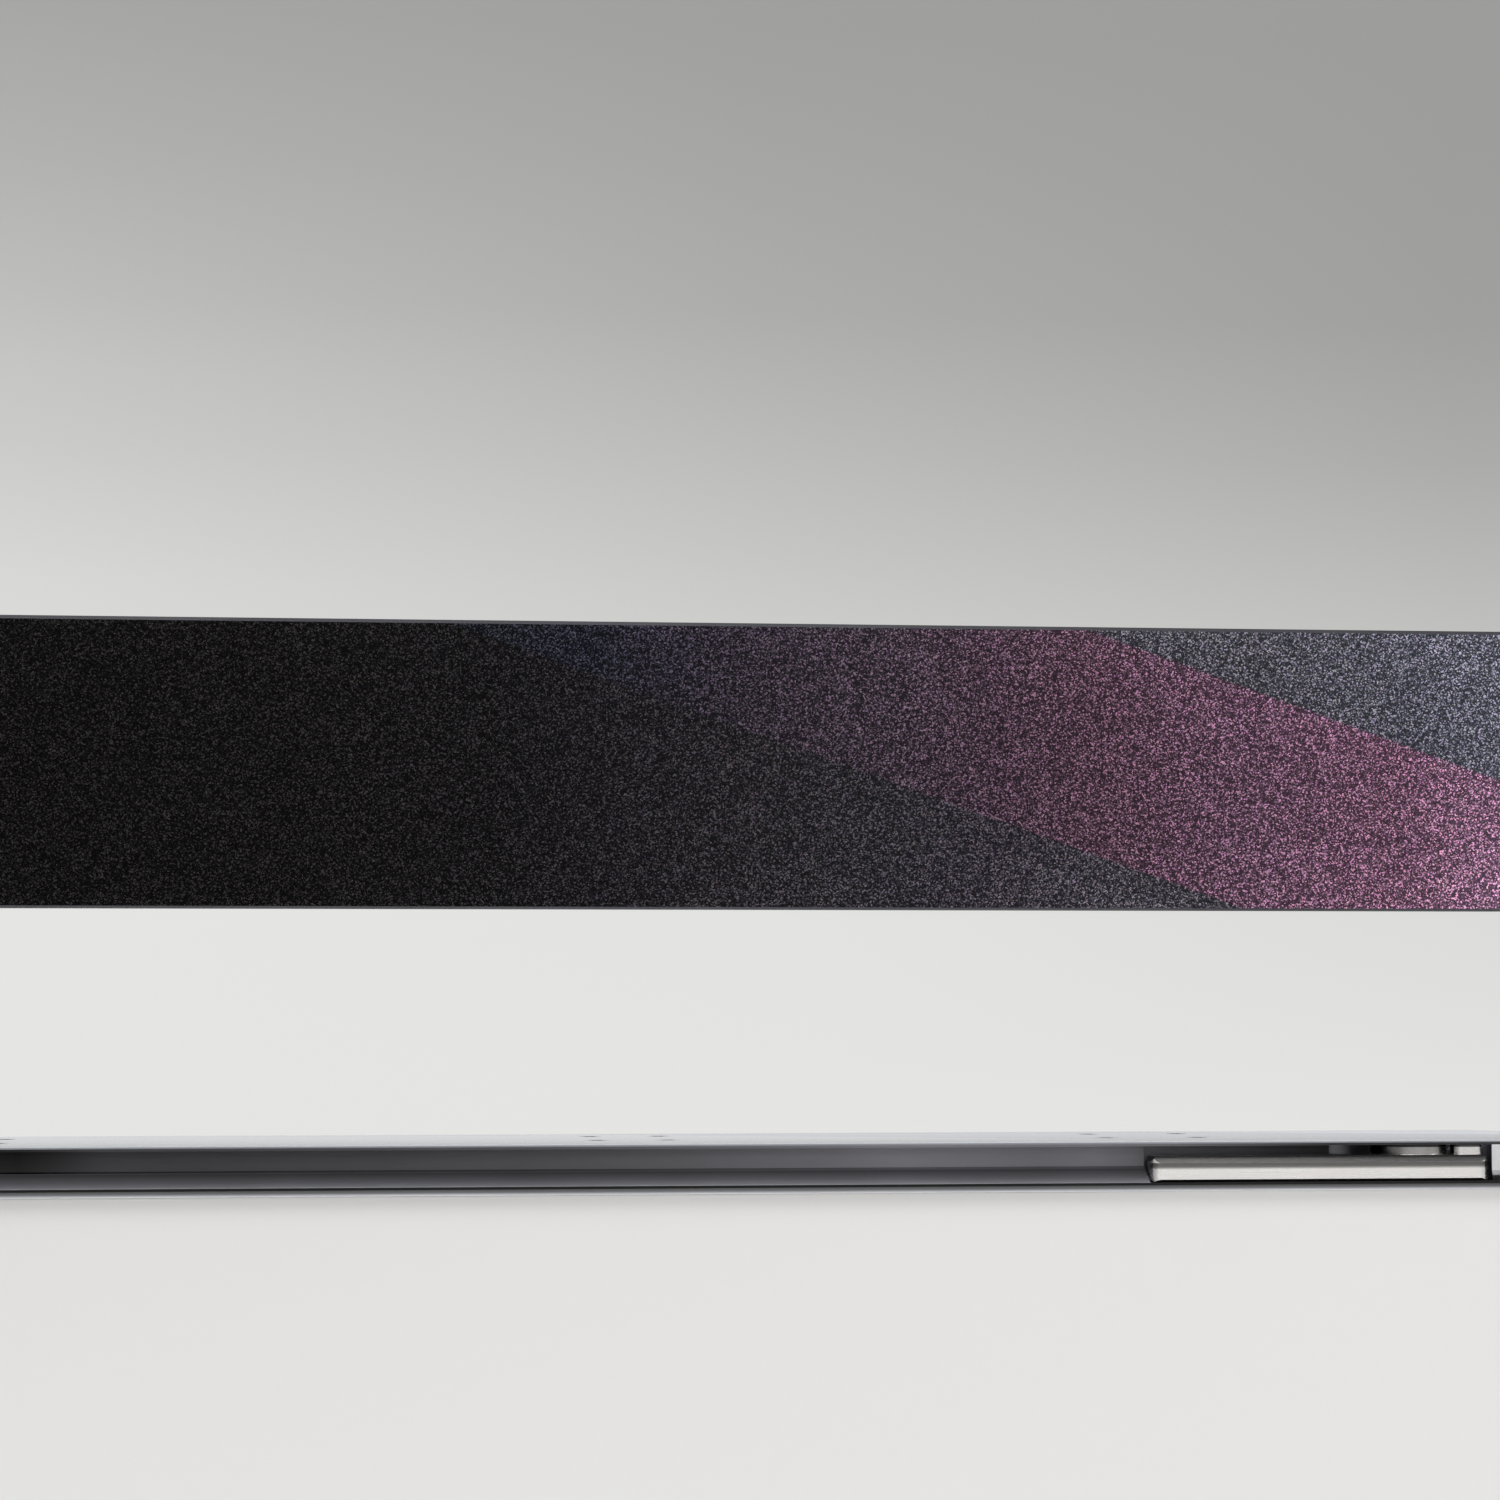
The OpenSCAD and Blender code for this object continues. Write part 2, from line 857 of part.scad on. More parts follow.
module upper_base() { color("#2c2630") upper_half() base_sheet(); }
module upper_outer_edge() { color("#3c3c40") upper_half() outer_edge(); }
module upper_inner_edge() { color("#a8a8ac") upper_half() inner_edge(); }
module upper_bottom_laminate() { color("#8f8a72") upper_half() bottom_laminate(); }
module upper_inner_seal() { color("#101012") upper_half() inner_seal(); }
module upper_tip_spacer() { color("#26262a") upper_half() spacer(); }
module upper_tail_spacer() { color("#26262a") upper_half() left() spacer(); }
module upper_top_laminate() { color("#8f8a72") upper_half() top_laminate() stud_holes(); }
module upper_topsheet() { color("#c4c8cc") upper_half() topsheet() stud_holes(); }
module upper_inserts() { color("#b9bcc0") upper_half() inserts(); }

module upper_core() {
    color("#c9a76b")
        upper_half()
            core() {
                socket_block();
                left() socket_block();
            }
}

module upper_inner_rail() {
    color("#5c5c62")
        upper_half()
            inner_rail() {
                socket_room();
                left() socket_room();
                stud_holes();
            }
}

module upper_outer_sidewall() {
    color("#202024")
        upper_half()
            outer_sidewall() {
                socket_block();
                left() socket_block();
            }
}

module right_latch_socket() { color("#d0d2d4") upper_half() latch_socket(); }
module left_latch_socket() { color("#d0d2d4") upper_half() left() latch_socket(); }
module tip_stud() { color("#b0b0b4") upper_half() clip_stud(); }
module tail_stud() { color("#b0b0b4") upper_half() left() clip_stud(); }

lower_base();
lower_outer_edge();
lower_inner_edge();
lower_bottom_laminate();
lower_inner_seal();
lower_core();
lower_outer_sidewall();
lower_inner_rail();
lower_tip_spacer();
lower_tail_spacer();
lower_top_laminate();
lower_topsheet();
lower_inserts();
right_latch_housing();
right_latch_arm();
right_latch_pin();
left_latch_housing();
left_latch_arm();
left_latch_pin();
tip_clip_plate();
tip_clip_lever();
tip_clip_pin();
tail_clip_plate();
tail_clip_lever();
tail_clip_pin();
clip_screws();
upper_base();
upper_outer_edge();
upper_inner_edge();
upper_bottom_laminate();
upper_inner_seal();
upper_core();
upper_outer_sidewall();
upper_inner_rail();
upper_tip_spacer();
upper_tail_spacer();
upper_top_laminate();
upper_topsheet();
upper_inserts();
right_latch_socket();
left_latch_socket();
tip_stud();
tail_stud();
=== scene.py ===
import math
import bpy
import bmesh
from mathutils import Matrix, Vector


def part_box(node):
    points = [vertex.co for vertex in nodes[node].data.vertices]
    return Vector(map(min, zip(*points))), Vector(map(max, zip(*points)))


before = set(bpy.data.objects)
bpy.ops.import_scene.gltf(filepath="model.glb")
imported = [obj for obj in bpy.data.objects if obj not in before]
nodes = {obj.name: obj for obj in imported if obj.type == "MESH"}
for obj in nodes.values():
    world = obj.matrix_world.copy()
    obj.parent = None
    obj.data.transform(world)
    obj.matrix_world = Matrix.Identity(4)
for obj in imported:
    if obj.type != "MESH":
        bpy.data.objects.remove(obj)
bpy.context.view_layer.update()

print("frame loaded:", len(nodes), "nodes")

# helpers for colours and node trees


def linear(r, g, b):
    # written as 0 to 255 screen values, used as linear light
    shares = [c / 255 for c in (r, g, b)]
    light = [c / 12.92 if c <= 0.04045 else ((c + 0.055) / 1.055) ** 2.4 for c in shares]
    return (*light, 1)


def grey(value):
    return (value, value, value, 1)


white = grey(1)
black = grey(0)


def addNode(tree, kind, **values):
    node = tree.nodes.new(kind)
    for name, value in values.items():
        setattr(node, name, value)
    return node


def feed(tree, socket, value):
    # links another node's output, or sets a plain value
    if isinstance(value, bpy.types.NodeSocket):
        tree.links.new(value, socket)
    else:
        socket.default_value = value


def calc(tree, operation, a, b=None):
    node = addNode(tree, "ShaderNodeMath", operation=operation)
    feed(tree, node.inputs[0], a)
    if b is not None:
        feed(tree, node.inputs[1], b)
    return node.outputs[0]


def mixColour(tree, factor, a, b, blend="MIX"):
    node = addNode(tree, "ShaderNodeMix", data_type="RGBA", blend_type=blend)
    # a Mix node has sockets for each type of value; 6, 7 and output 2 are the colours
    for place, value in ((0, factor), (6, a), (7, b)):
        feed(tree, node.inputs[place], value)
    return node.outputs[2]


def times(tree, a, b):
    return mixColour(tree, 1.0, a, b, "MULTIPLY")


def plus(tree, a, b):
    return mixColour(tree, 1.0, a, b, "ADD")


def ramp(tree, value, stops):
    node = addNode(tree, "ShaderNodeValToRGB")
    elements = node.color_ramp.elements
    while len(elements) < len(stops):
        elements.new(0.5)
    for element, (place, colour) in zip(elements, stops):
        element.position = place
        element.color = colour
    tree.links.new(value, node.inputs[0])
    return node.outputs[0]


def axesOf(tree, vector):
    node = addNode(tree, "ShaderNodeSeparateXYZ")
    tree.links.new(vector, node.inputs[0])
    return node.outputs


def shareOf(tree, value, low, high):
    # 0 where the value is low, 1 where it is high
    node = addNode(tree, "ShaderNodeMapRange")
    node.inputs["From Min"].default_value = low
    node.inputs["From Max"].default_value = high
    tree.links.new(value, node.inputs["Value"])
    return node.outputs[0]


def clamped(tree, value):
    node = addNode(tree, "ShaderNodeClamp")
    tree.links.new(value, node.inputs[0])
    return node.outputs[0]


def newGroup(name, inputs, outputs):
    group = bpy.data.node_groups.new(name, "ShaderNodeTree")
    for label, kind, default in inputs:
        socket = group.interface.new_socket(label, in_out="INPUT", socket_type=kind)
        if default is not None:
            socket.default_value = default
    for label, kind in outputs:
        group.interface.new_socket(label, in_out="OUTPUT", socket_type=kind)
    start = group.nodes.new("NodeGroupInput")
    end = group.nodes.new("NodeGroupOutput")
    return group, start, end


def useGroup(tree, group, vector=None, **values):
    node = addNode(tree, "ShaderNodeGroup", node_tree=group)
    for name, value in values.items():
        node.inputs[name].default_value = value
    if vector is not None:
        tree.links.new(vector, node.inputs["Vector"])
    return node


# effects that several materials share

grainShape = {"lineDetail": 3, "cloudScale": 18, "cloudDetail": 4}
printShape = {
    "span": 1.6,              # metres of board that the colour stops cover
    "slope": 0.35,            # fall of the band across the board per metre along it
    "bandLow": 0.1007,        # the band's two borders at x = 0, metres from the inner edge
    "bandHigh": 0.1953,
    "edgeSoftness": 0.0012,
}
# each stop: x in metres, colour there; on the base the stops darken towards the left, a painted
# shade laid over the print's own colours
baseColoursWithShade = {
    "ground": [(-0.8, (6, 6, 7)), (-0.228, (7, 7, 8)), (-0.113, (11, 11, 12)),
               (-0.031, (17, 17, 19)), (0.011, (25, 24, 29)), (0.075, (37, 36, 41)),
               (0.139, (47, 46, 52)), (0.182, (54, 51, 59)), (0.226, (63, 62, 69)),
               (0.8, (84, 88, 98))],
    "band": [(-0.8, (6, 6, 7)), (-0.228, (7, 7, 8)), (-0.113, (11, 11, 15)),
             (-0.031, (22, 25, 33)), (0.011, (27, 29, 39)), (0.075, (46, 41, 51)),
             (0.139, (61, 52, 63)), (0.182, (72, 56, 70)), (0.226, (84, 63, 78)),
             (0.29, (99, 75, 94)), (0.356, (112, 83, 104)), (0.392, (132, 101, 125)),
             (0.8, (150, 112, 144))],
    "corner": [(-0.8, (11, 11, 12)), (-0.113, (24, 24, 27)), (0.075, (48, 50, 58)),
               (0.29, (74, 75, 83)), (0.356, (82, 84, 95)), (0.392, (92, 95, 107)),
               (0.8, (112, 118, 132))],
}
deckColours = {
    "ground": [(-0.8, (160, 164, 172)), (0.0, (172, 176, 183)), (0.8, (180, 184, 191))],
    "band": [(-0.8, (148, 153, 164)), (0.0, (160, 164, 175)), (0.8, (168, 170, 181))],
    "corner": [(-0.8, (158, 164, 175)), (0.0, (176, 181, 190)), (0.8, (186, 190, 198))],
}


def makeFlakeGroup():
    # tiny cells of metallic flake, painted as glints: most stay dark, a few are bright
    group, start, end = newGroup(
        "flakeSparkle",
        [("Vector", "NodeSocketVector", None), ("Scale", "NodeSocketFloat", 1000),
         ("Rarity", "NodeSocketFloat", 4.0)],
        [("Glint", "NodeSocketFloat"), ("Height", "NodeSocketFloat"),
         ("Tint", "NodeSocketColor")])
    cells = addNode(group, "ShaderNodeTexVoronoi", feature="F1")
    for label in ("Vector", "Scale"):
        group.links.new(start.outputs[label], cells.inputs[label])
    split = addNode(group, "ShaderNodeSeparateColor")
    group.links.new(cells.outputs["Color"], split.inputs[0])
    group.links.new(calc(group, "POWER", split.outputs[0], start.outputs["Rarity"]),
                    end.inputs["Glint"])
    group.links.new(split.outputs[2], end.inputs["Height"])
    group.links.new(cells.outputs["Color"], end.inputs["Tint"])
    return group


def makeGrainGroup():
    # fine lines along the board, as left by drawing or grinding metal, and broad clouds
    group, start, end = newGroup(
        "drawnGrain",
        [("Vector", "NodeSocketVector", None), ("Scale", "NodeSocketFloat", 900),
         ("Stretch", "NodeSocketFloat", 0.02)],
        [("Value", "NodeSocketFloat"), ("Cloud", "NodeSocketFloat")])
    stretch = addNode(group, "ShaderNodeCombineXYZ")
    for socket, value in zip(stretch.inputs, (start.outputs["Stretch"], 1, 1)):
        feed(group, socket, value)
    scaled = addNode(group, "ShaderNodeVectorMath", operation="MULTIPLY")
    group.links.new(start.outputs["Vector"], scaled.inputs[0])
    group.links.new(stretch.outputs[0], scaled.inputs[1])
    lines = addNode(group, "ShaderNodeTexNoise")
    lines.inputs["Detail"].default_value = grainShape["lineDetail"]
    group.links.new(scaled.outputs[0], lines.inputs["Vector"])
    group.links.new(start.outputs["Scale"], lines.inputs["Scale"])
    cloud = addNode(group, "ShaderNodeTexNoise")
    cloud.inputs["Scale"].default_value = grainShape["cloudScale"]
    cloud.inputs["Detail"].default_value = grainShape["cloudDetail"]
    group.links.new(start.outputs["Vector"], cloud.inputs["Vector"])
    group.links.new(lines.outputs["Fac"], end.inputs["Value"])
    group.links.new(cloud.outputs["Fac"], end.inputs["Cloud"])
    return group


def makePrintGroup(name, colours):
    # a printed design: ground, one broad diagonal band, a corner above it; for the base its colour
    # tables also hold painted shade along the board
    group, start, end = newGroup(
        name,
        [("Along", "NodeSocketFloat", 0), ("Across", "NodeSocketFloat", 0)],
        [("Colour", "NodeSocketColor")])
    place = calc(group, "DIVIDE", start.outputs["Along"], printShape["span"])
    place = calc(group, "ADD", place, 0.5)
    diagonal = calc(group, "MULTIPLY", start.outputs["Along"], printShape["slope"])
    diagonal = calc(group, "ADD", diagonal, start.outputs["Across"])
    zones = []
    for zone in ("ground", "band", "corner"):
        stops = [(x / printShape["span"] + 0.5, linear(*rgb)) for x, rgb in colours[zone]]
        zones.append(ramp(group, place, stops))
    borders = []
    for level in (printShape["bandLow"], printShape["bandHigh"]):
        border = calc(group, "SUBTRACT", diagonal, level)
        border = calc(group, "MULTIPLY", border, 1 / printShape["edgeSoftness"])
        borders.append(clamped(group, border))
    colour = mixColour(group, borders[0], zones[0], zones[1])
    colour = mixColour(group, borders[1], colour, zones[2])
    group.links.new(colour, end.inputs["Colour"])
    return group


flakeGroup = makeFlakeGroup()
grainGroup = makeGrainGroup()
basePrintWithShade = makePrintGroup("basePrintWithShade", baseColoursWithShade)
deckPrint = makePrintGroup("deckPrint", deckColours)
print("effects ready")

# materials

gainRoom = 2                  # a ramp ends at 1, so gains are divided by this inside it
facingSeam = -0.5             # faces whose normal is below this look at the other half
bumpDepth = {"sheet": 0.0001, "metal": 0.00005, "plastic": 0.0001, "wood": 0.0002}


def newMaterial(name, sockets):
    material = bpy.data.materials.new(name)
    material.use_nodes = True
    tree = material.node_tree
    shader = tree.nodes["Principled BSDF"]
    for label, value in sockets.items():
        shader.inputs[label].default_value = value
    place = tree.nodes.new("ShaderNodeTexCoord").outputs["Object"]
    return material, tree, shader, place


def normalAxes(tree):
    return axesOf(tree, tree.nodes.new("ShaderNodeTexCoord").outputs["Normal"])


def addBump(tree, shader, height, strength, distance):
    bump = addNode(tree, "ShaderNodeBump")
    bump.inputs["Strength"].default_value = strength
    bump.inputs["Distance"].default_value = distance
    tree.links.new(height, bump.inputs["Height"])
    tree.links.new(bump.outputs["Normal"], shader.inputs["Normal"])


def printedSheetWithPaintedLight(name, acrossAxis, edgePlace, printGroup, look):
    material, tree, shader, place = newMaterial(
        name, {"Roughness": look["roughness"], "Specular IOR Level": look["specular"]})
    axes = axesOf(tree, place)
    across = calc(tree, "SUBTRACT", axes[acrossAxis], edgePlace)
    design = useGroup(tree, printGroup)
    tree.links.new(axes[0], design.inputs["Along"])
    tree.links.new(across, design.inputs["Across"])
    # painted light and shade: the print is made lighter or darker towards the edges of the sheet
    gain = ramp(tree, calc(tree, "DIVIDE", across, look["shadeSpan"]),
                [(v / look["shadeSpan"], grey(g / gainRoom)) for v, g in look["shade"]])
    colour = times(tree, design.outputs["Colour"], gain)
    colour = times(tree, colour, grey(gainRoom))
    # the print is dimmed by groundGain, and the painted glints of the flakes add light to it
    flakes = useGroup(tree, flakeGroup, place, Scale=look["flakeScale"], Rarity=look["rarity"])
    bright = times(tree, colour, grey(look["glintGain"]))
    bright = plus(tree, bright, grey(look["glintFloor"]))
    tint = mixColour(tree, look["tint"], white, flakes.outputs["Tint"])
    bright = times(tree, bright, tint)
    bright = mixColour(tree, flakes.outputs["Glint"], black, bright)
    colour = times(tree, colour, grey(look["groundGain"]))
    colour = plus(tree, colour, bright)
    if "paintedEdgeHighlight" in look:
        # the sheet's own edge, which faces the seam, painted light as a highlight
        highlightedEdge = calc(tree, "LESS_THAN", normalAxes(tree)[acrossAxis], facingSeam)
        colour = mixColour(tree, highlightedEdge, colour, linear(*look["paintedEdgeHighlight"]))
    tree.links.new(colour, shader.inputs["Base Color"])
    addBump(tree, shader, flakes.outputs["Height"], look["bump"], bumpDepth["sheet"])
    return material


def gainAlong(tree, value, stops):
    # grey gain from 0 to 1 over stops that are given in the value's own unit
    low, high = stops[0][0], stops[-1][0]
    return ramp(tree, shareOf(tree, value, low, high),
                [((v - low) / (high - low), grey(g)) for v, g in stops])


def paintedRailShading(tree, place, look):
    # painted light and shade: darker and lighter stretches up the ledge, and along the wall behind
    # it
    axes = axesOf(tree, place)
    up = gainAlong(tree, axes[2], look["up"])
    if "along" not in look:
        return up
    along = gainAlong(tree, axes[0], look["along"])
    wall = calc(tree, "GREATER_THAN", axes[2], look["wallFrom"])
    return times(tree, up, mixColour(tree, wall, white, along))


def paintedLatchShading(tree, place, look):
    # painted shade: darker slopes, and above the bar a disc and a tab that darken towards the
    # arm's tip
    axes = axesOf(tree, place)
    facing = normalAxes(tree)
    outward = calc(tree, "MULTIPLY", facing[0], calc(tree, "SIGN", axes[0]))
    along = gainAlong(tree, calc(tree, "ABSOLUTE", axes[0]), look["along"])
    up = gainAlong(tree, axes[2], look["rise"])
    turned = gainAlong(tree, outward, look["turned"])
    above = calc(tree, "GREATER_THAN", axes[2], look["above"])
    slope = gainAlong(tree, calc(tree, "ABSOLUTE", facing[2]), look["slope"])
    tone = mixColour(tree, above, white, times(tree, along, turned))
    return times(tree, times(tree, tone, slope), up)


def grained(tree, place, look):
    # the drawn lines, and a colour that clouds between the dark and the light shade
    grain = useGroup(tree, grainGroup, place, Scale=look["grainScale"], Stretch=look["stretch"])
    colour = mixColour(tree, grain.outputs["Cloud"], linear(*look["dark"]), linear(*look["light"]))
    return grain.outputs["Value"], colour


def drawnMetal(name, look):
    material, tree, shader, place = newMaterial(name, {"Metallic": look["metallic"]})
    lines, colour = grained(tree, place, look)
    if "up" in look:
        # painted light and shade on the rail, its wall and the inner edge
        colour = times(tree, colour, paintedRailShading(tree, place, look))
    if "turned" in look:
        # painted shade on the latch
        colour = times(tree, colour, paintedLatchShading(tree, place, look))
    tree.links.new(colour, shader.inputs["Base Color"])
    rough = calc(tree, "MULTIPLY", lines, look["roughSwing"])
    rough = calc(tree, "ADD", rough, look["roughness"])
    tree.links.new(rough, shader.inputs["Roughness"])
    addBump(tree, shader, lines, look["bump"], bumpDepth["metal"])
    return material


def mouldedPlastic(name, look):
    material, tree, shader, place = newMaterial(name, {"Roughness": look["roughness"]})
    lines, colour = grained(tree, place, look)
    tree.links.new(colour, shader.inputs["Base Color"])
    addBump(tree, shader, lines, look["bump"], bumpDepth["plastic"])
    return material


def woodCore(name, look):
    material, tree, shader, place = newMaterial(name, {"Roughness": look["roughness"]})
    strips = addNode(tree, "ShaderNodeTexWave", wave_type="BANDS", bands_direction="Z")
    strips.inputs["Scale"].default_value = look["stripScale"]
    strips.inputs["Distortion"].default_value = look["distortion"]
    tree.links.new(place, strips.inputs["Vector"])
    grain = useGroup(tree, grainGroup, place, Scale=look["grainScale"], Stretch=look["stretch"])
    lines = grain.outputs["Value"]
    tone = calc(tree, "MULTIPLY", strips.outputs["Fac"], lines)
    colour = mixColour(tree, tone, linear(*look["dark"]), linear(*look["light"]))
    tree.links.new(colour, shader.inputs["Base Color"])
    addBump(tree, shader, lines, look["bump"], bumpDepth["wood"])
    return material


# shadeSpan: metres from the inner edge; shade: distance from that edge, gain of the print, a
# painted light and shade across the sheet
baseLook = {
    "roughness": 0.5, "specular": 0.03, "bump": 0.25,
    "flakeScale": 1900, "rarity": 5.0, "tint": 0.25,
    "glintGain": 5.4, "glintFloor": 0.032, "groundGain": 0.3,
    "shadeSpan": 0.2,
    "shade": [(0.0, 1.12), (0.03, 0.97), (0.06, 0.94), (0.09, 1.02), (0.12, 1.2)],
}
# on the deck the painted shade darkens the print towards the inner edge
deckLook = {
    "roughness": 0.16, "specular": 0.5, "bump": 0.01,
    "flakeScale": 1700, "rarity": 3.0, "tint": 0.2,
    "glintGain": 0.15, "glintFloor": 0.0, "groundGain": 1.3,
    # the edge facing the seam gets a painted highlight in this colour
    "paintedEdgeHighlight": (212, 215, 221),
    "shadeSpan": 0.2,
    "shade": [(0.0, 0.6), (0.012, 0.7), (0.035, 0.9), (0.06, 1.0), (0.2, 1.0)],
}
outerEdgeLook = {
    "dark": (60, 60, 64), "light": (84, 84, 88), "metallic": 1.0,
    "roughness": 0.35, "roughSwing": 0.2, "grainScale": 900, "stretch": 0.02, "bump": 0.2,
}
# up: height in metres, gain there; on the inner edge it is a painted reflection of the floor,
# bright along the lowest strip and darker above
innerEdgeLook = {
    "dark": (222, 223, 228), "light": (238, 239, 243), "metallic": 0.4,
    "roughness": 0.4, "roughSwing": 0.15, "grainScale": 900, "stretch": 0.02, "bump": 0.2,
    "up": [(0.0, 1.0), (0.0006, 0.62), (0.0012, 0.24), (0.0022, 0.12)],
}
# along: x in metres, gain of the back wall, which begins at height wallFrom; the recess is drawn
# lighter than the rail, and up and along paint shade on it
recessLook = {
    "dark": (152, 152, 158), "light": (182, 182, 190), "metallic": 0.35,
    "roughness": 0.5, "roughSwing": 0.16, "grainScale": 700, "stretch": 0.01, "bump": 0.15,
    "wallFrom": 0.0093,
    "up": [(0.0025, 1.0), (0.0035, 0.85), (0.0088, 0.22), (0.0093, 0.5),
           (0.0188, 1.0), (0.0192, 0.45), (0.021, 0.9)],
    "along": [(-0.8, 0.3), (-0.26, 0.03), (-0.225, 0.0), (-0.208, 0.08),
              (-0.19, 0.22), (-0.111, 0.26), (0.013, 0.42), (0.075, 0.58),
              (0.14, 0.85), (0.226, 0.8), (0.325, 0.1), (0.8, 0.3)],
}
railLook = {
    "dark": (112, 112, 118), "light": (136, 136, 144), "metallic": 0.35,
    "roughness": 0.5, "roughSwing": 0.16, "grainScale": 700, "stretch": 0.01, "bump": 0.15,
}
housingLook = {
    "dark": (222, 222, 226), "light": (240, 240, 244), "metallic": 1.0,
    "roughness": 0.16, "roughSwing": 0.1, "grainScale": 600, "stretch": 0.05, "bump": 0.05,
}
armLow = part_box("left_latch_arm")[0].z
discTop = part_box("left_latch_arm")[1].z
armLook = {
    "dark": (244, 241, 238), "light": (250, 248, 245), "metallic": 1.0,
    "roughness": 0.24, "roughSwing": 0.06, "grainScale": 800, "stretch": 0.03, "bump": 0.03,
    # disc and tab stand above this height
    "above": armLow + 0.0107,
    # distance from the board's middle, gain of painted shade on disc and tab
    "along": [(0.345, 0.12), (0.354, 0.24), (0.364, 0.4), (0.374, 0.5),
              (0.3815, 0.6), (0.382, 0.8)],
    # turn of a face from the board's middle (-1) to its end (1), gain of painted shade on disc and
    # tab
    "turned": [(-1.0, 0.1), (-0.97, 0.12), (-0.93, 1.0), (1.0, 1.0)],
    # how far a face looks up or down, gain of painted shade
    "slope": [(0.0, 1.0), (0.2, 1.0), (0.4, 0.22), (0.9, 0.3), (1.0, 0.8)],
    # height, gain of painted shade: a dark band along the upper part of the bar and a dark rim at
    # the disc's top
    "rise": [(armLow, 1.0), (armLow + 0.0049, 1.0), (armLow + 0.0054, 0.6),
             (armLow + 0.0058, 0.36), (armLow + 0.0062, 0.2), (armLow + 0.0077, 0.15),
             (armLow + 0.0079, 1.0), (discTop - 0.001, 1.0), (discTop - 0.0008, 0.15),
             (discTop, 0.1)],
}
leverLook = {
    "dark": (170, 168, 166), "light": (196, 194, 192), "metallic": 1.0,
    "roughness": 0.25, "roughSwing": 0.15, "grainScale": 800, "stretch": 0.05, "bump": 0.1,
}
turnedLook = {
    "dark": (150, 150, 152), "light": (182, 182, 184), "metallic": 1.0,
    "roughness": 0.25, "roughSwing": 0.15, "grainScale": 1500, "stretch": 1.0, "bump": 0.1,
}
sidewallLook = {
    "dark": (22, 22, 25), "light": (34, 34, 38),
    "roughness": 0.45, "grainScale": 900, "stretch": 0.01, "bump": 0.35,
}
rubberLook = {
    "dark": (10, 10, 11), "light": (20, 20, 21),
    "roughness": 0.8, "grainScale": 1200, "stretch": 0.4, "bump": 0.4,
}
laminateLook = {
    "dark": (132, 135, 142), "light": (152, 155, 162),
    "roughness": 0.3, "grainScale": 1400, "stretch": 0.1, "bump": 0.3,
}
clipLook = {
    "dark": (26, 26, 29), "light": (38, 38, 42),
    "roughness": 0.5, "grainScale": 1500, "stretch": 1.0, "bump": 0.5,
}
coreLook = {
    "dark": (150, 112, 68), "light": (208, 172, 122), "roughness": 0.6, "bump": 0.2,
    "stripScale": 14, "distortion": 1.5, "grainScale": 400, "stretch": 0.03,
}

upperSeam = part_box("upper_inner_edge")[0].z
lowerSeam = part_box("lower_inner_edge")[0].y
surfaces = {
    "upperBase": printedSheetWithPaintedLight("upperBase", 2, upperSeam, basePrintWithShade, baseLook),
    "lowerBase": printedSheetWithPaintedLight("lowerBase", 1, lowerSeam, basePrintWithShade, baseLook),
    "upperDeck": printedSheetWithPaintedLight("upperDeck", 2, upperSeam, deckPrint, deckLook),
    "lowerDeck": printedSheetWithPaintedLight("lowerDeck", 1, lowerSeam, deckPrint, deckLook),
    "woodCore": woodCore("woodCore", coreLook),
}
for makeSurface, label, look in [
        (drawnMetal, "outerEdgeSteel", outerEdgeLook),
        (drawnMetal, "innerEdgeSteelWithPaintedReflection", innerEdgeLook),
        (drawnMetal, "shadedRecessAluminium", recessLook),
        (drawnMetal, "railAluminium", railLook),
        (drawnMetal, "housingAluminium", housingLook),
        (drawnMetal, "armSteel", armLook),
        (drawnMetal, "leverSteel", leverLook),
        (drawnMetal, "turnedSteel", turnedLook),
        (mouldedPlastic, "sidewallPlastic", sidewallLook),
        (mouldedPlastic, "rubberStrip", rubberLook),
        (mouldedPlastic, "glassLaminate", laminateLook),
        (mouldedPlastic, "clipPlastic", clipLook)]:
    surfaces[label] = makeSurface(label, look)

# the first ending that fits a node's name gives its surface
surfaceByEnding = [
    ("upper_base", "upperBase"), ("lower_base", "lowerBase"),
    ("upper_topsheet", "upperDeck"), ("lower_topsheet", "lowerDeck"),
    ("outer_edge", "outerEdgeSteel"), ("upper_inner_edge", "outerEdgeSteel"),
    ("inner_edge", "innerEdgeSteelWithPaintedReflection"), ("laminate", "glassLaminate"),
    ("inner_seal", "rubberStrip"), ("core", "woodCore"),
    ("sidewall", "sidewallPlastic"), ("spacer", "sidewallPlastic"),
    ("lower_inner_rail", "shadedRecessAluminium"), ("inner_rail", "railAluminium"),
    ("inserts", "turnedSteel"), ("housing", "housingAluminium"),
    ("latch_arm", "armSteel"), ("latch_pin", "turnedSteel"),
    ("latch_socket", "housingAluminium"), ("clip_plate", "clipPlastic"),
    ("clip_lever", "leverSteel"), ("clip_pin", "turnedSteel"),
    ("clip_screws", "turnedSteel"), ("stud", "turnedSteel"),
]
for name, piece in nodes.items():
    for ending, label in surfaceByEnding:
        if name.endswith(ending):
            if not piece.material_slots:
                piece.data.materials.append(surfaces[label])
            for slot in piece.material_slots:
                slot.material = surfaces[label]
            break
print("materials assigned")

# softened edges on the small pieces of the latches and clips

roundingWidths = {"latch_arm": 0.0007, "latch_housing": 0.0003, "clip_lever": 0.0004,
                  "clip_plate": 0.0004, "stud": 0.0003, "clip_pin": 0.0003}
roundingLook = {"segments": 3, "sharpFrom": math.radians(35)}
for name, piece in nodes.items():
    for ending, width in roundingWidths.items():
        if name.endswith(ending):
            bevel = piece.modifiers.new("rounding", "BEVEL")
            bevel.width = width
            bevel.segments = roundingLook["segments"]
            bevel.limit_method = "ANGLE"
            bevel.angle_limit = roundingLook["sharpFrom"]
print("edges softened")

# floor and backdrop: one sheet of paper that bends up behind the part

